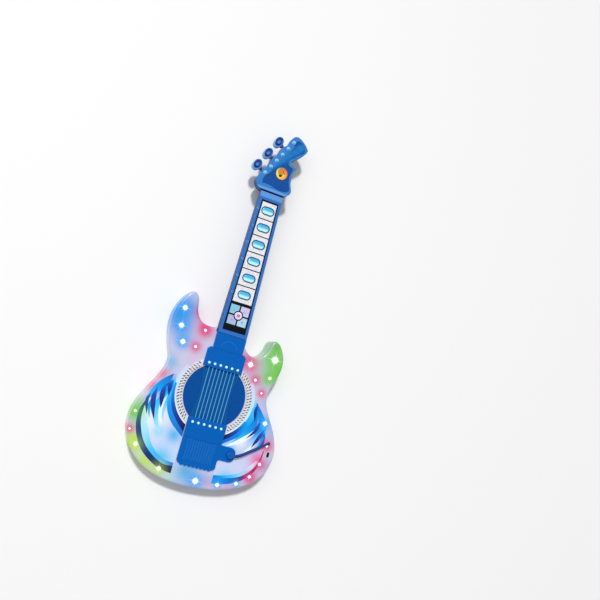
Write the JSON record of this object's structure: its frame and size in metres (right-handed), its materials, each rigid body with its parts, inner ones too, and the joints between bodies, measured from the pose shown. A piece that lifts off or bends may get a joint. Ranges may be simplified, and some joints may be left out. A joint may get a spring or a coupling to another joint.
{
  "type": "toy electric guitar",
  "caption": "Toy electric guitar lying on its back: translucent lit body, blue neck with pill keys and a control pad, round sound hole, strings, tremolo arm and tuner knobs.",
  "frame": {"origin": "on the back resting plane, under the middle of the sound hole", "axes": "+X to the right seen from the front, +Y along the neck to the headstock, +Z out of the front face"},
  "size_m": [0.2475, 0.5876, 0.0475],
  "materials": {
    "body_white": "milky translucent",
    "blue": "glossy blue",
    "dark_blue": "glossy dark blue",
    "light_blue": "glossy light blue",
    "pin_white": "glossy",
    "trim": "white with dark slanted dashes",
    "label_black": "printed film",
    "glitter": "silver glitter film",
    "bezel": "dark teal",
    "key_cyan": "clear cyan",
    "key_pale": "pale blue to lilac",
    "badge": "printed orange",
    "board_green": "circuit board",
    "chip_black": "matte",
    "rubber_grey": "silicone",
    "cable_grey": "flat cable",
    "wire_red": "insulated wire",
    "steel": "steel",
    "magnet": "ferrite",
    "cone": "paper cone",
    "cell": "printed sleeve",
    "socket_black": "moulded",
    "lamp_blue": "emissive",
    "lamp_pink": "emissive",
    "lamp_green": "emissive"
  },
  "bodies": {
    "guitar": {"front_shell": "body_white", "back_shell": "body_white", "sound_hole_plate": "blue", "rosette_trim": "trim", "string_bed": "blue", "neck_cover": "blue", "bridge_cover": "blue", "strings": "light_blue", "string_pins": "pin_white", "neck_front_shell": "blue", "neck_back_shell": "blue", "fretboard_label": "label_black", "glitter_tiles": "glitter", "key_bezels": "bezel", "fret_board": "board_green", "rubber_keypad": "rubber_grey", "string_posts": "light_blue", "headstock_badge": "badge", "ribbon_cable": "cable_grey", "tremolo_spring": "steel", "tremolo_switch": "chip_black", "battery_cells": "cell", "battery_contacts": "steel", "speaker_basket": "steel", "speaker_magnet": "magnet", "speaker_cone": "cone", "main_board": "board_green", "board_components": "chip_black", "aux_jack": "socket_black", "mic_jack": "socket_black", "blue_lamps": "lamp_blue", "pink_lamps": "lamp_pink", "green_lamps": "lamp_green", "lamp_boards": "board_green", "wires": "wire_red", "shell_screws": "steel", "cover_screws": "steel", "neck_screws": "steel", "board_screws": "steel", "speaker_screws": "steel"},
    "fret_key_1": {"fret_key_1": "key_cyan"},
    "fret_key_2": {"fret_key_2": "key_cyan"},
    "fret_key_3": {"fret_key_3": "key_cyan"},
    "fret_key_4": {"fret_key_4": "key_cyan"},
    "fret_key_5": {"fret_key_5": "key_cyan"},
    "fret_key_6": {"fret_key_6": "key_cyan"},
    "song_key": {"song_key": "key_pale"},
    "rhythm_key": {"rhythm_key": "key_pale"},
    "volume_down_key": {"volume_down_key": "key_pale"},
    "volume_up_key": {"volume_up_key": "key_pale"},
    "round_key": {"round_key": "key_pale"},
    "tuner_1": {"tuner_1": "blue"},
    "tuner_2": {"tuner_2": "blue"},
    "tuner_3": {"tuner_3": "blue"},
    "tremolo": {"tremolo_arm": "blue", "tremolo_cam": "dark_blue", "tremolo_screw": "steel"},
    "battery_door": {"battery_door": "body_white", "battery_door_screws": "steel"}
  },
  "joints": [
    {"name": "fret_key_1_press", "type": "slide", "parent": "guitar", "child": "fret_key_1", "axis": [0, 0, -1], "range_m": [0, 0.0012], "stiffness_N_per_m": 40},
    {"name": "fret_key_2_press", "type": "slide", "parent": "guitar", "child": "fret_key_2", "axis": [0, 0, -1], "range_m": [0, 0.0012], "stiffness_N_per_m": 40},
    {"name": "fret_key_3_press", "type": "slide", "parent": "guitar", "child": "fret_key_3", "axis": [0, 0, -1], "range_m": [0, 0.0012], "stiffness_N_per_m": 40},
    {"name": "fret_key_4_press", "type": "slide", "parent": "guitar", "child": "fret_key_4", "axis": [0, 0, -1], "range_m": [0, 0.0012], "stiffness_N_per_m": 40},
    {"name": "fret_key_5_press", "type": "slide", "parent": "guitar", "child": "fret_key_5", "axis": [0, 0, -1], "range_m": [0, 0.0012], "stiffness_N_per_m": 40},
    {"name": "fret_key_6_press", "type": "slide", "parent": "guitar", "child": "fret_key_6", "axis": [0, 0, -1], "range_m": [0, 0.0012], "stiffness_N_per_m": 40},
    {"name": "song_key_press", "type": "slide", "parent": "guitar", "child": "song_key", "axis": [0, 0, -1], "range_m": [0, 0.001], "stiffness_N_per_m": 40},
    {"name": "rhythm_key_press", "type": "slide", "parent": "guitar", "child": "rhythm_key", "axis": [0, 0, -1], "range_m": [0, 0.001], "stiffness_N_per_m": 40},
    {"name": "volume_down_key_press", "type": "slide", "parent": "guitar", "child": "volume_down_key", "axis": [0, 0, -1], "range_m": [0, 0.001], "stiffness_N_per_m": 40},
    {"name": "volume_up_key_press", "type": "slide", "parent": "guitar", "child": "volume_up_key", "axis": [0, 0, -1], "range_m": [0, 0.001], "stiffness_N_per_m": 40},
    {"name": "round_key_press", "type": "slide", "parent": "guitar", "child": "round_key", "axis": [0, 0, -1], "range_m": [0, 0.001], "stiffness_N_per_m": 40},
    {"name": "tuner_1_turn", "type": "hinge", "parent": "guitar", "child": "tuner_1", "pos_m": [-0.0354, 0.374, 0.033], "axis": [0.8804, -0.4742, 0], "continuous": true},
    {"name": "tuner_2_turn", "type": "hinge", "parent": "guitar", "child": "tuner_2", "pos_m": [-0.0234, 0.3966, 0.033], "axis": [0.8804, -0.4742, 0], "continuous": true},
    {"name": "tuner_3_turn", "type": "hinge", "parent": "guitar", "child": "tuner_3", "pos_m": [-0.0114, 0.4192, 0.033], "axis": [0.8804, -0.4742, 0], "continuous": true},
    {"name": "tremolo_swing", "type": "hinge", "parent": "guitar", "child": "tremolo", "pos_m": [0.05, -0.085, 0.044], "axis": [0, 0, 1], "range_deg": [-12, 10], "stiffness_Nm_per_rad": 0.15},
    {"name": "battery_door_lift", "type": "slide", "parent": "guitar", "child": "battery_door", "axis": [0, 0, -1], "range_m": [0, 0.025]}
  ]
}
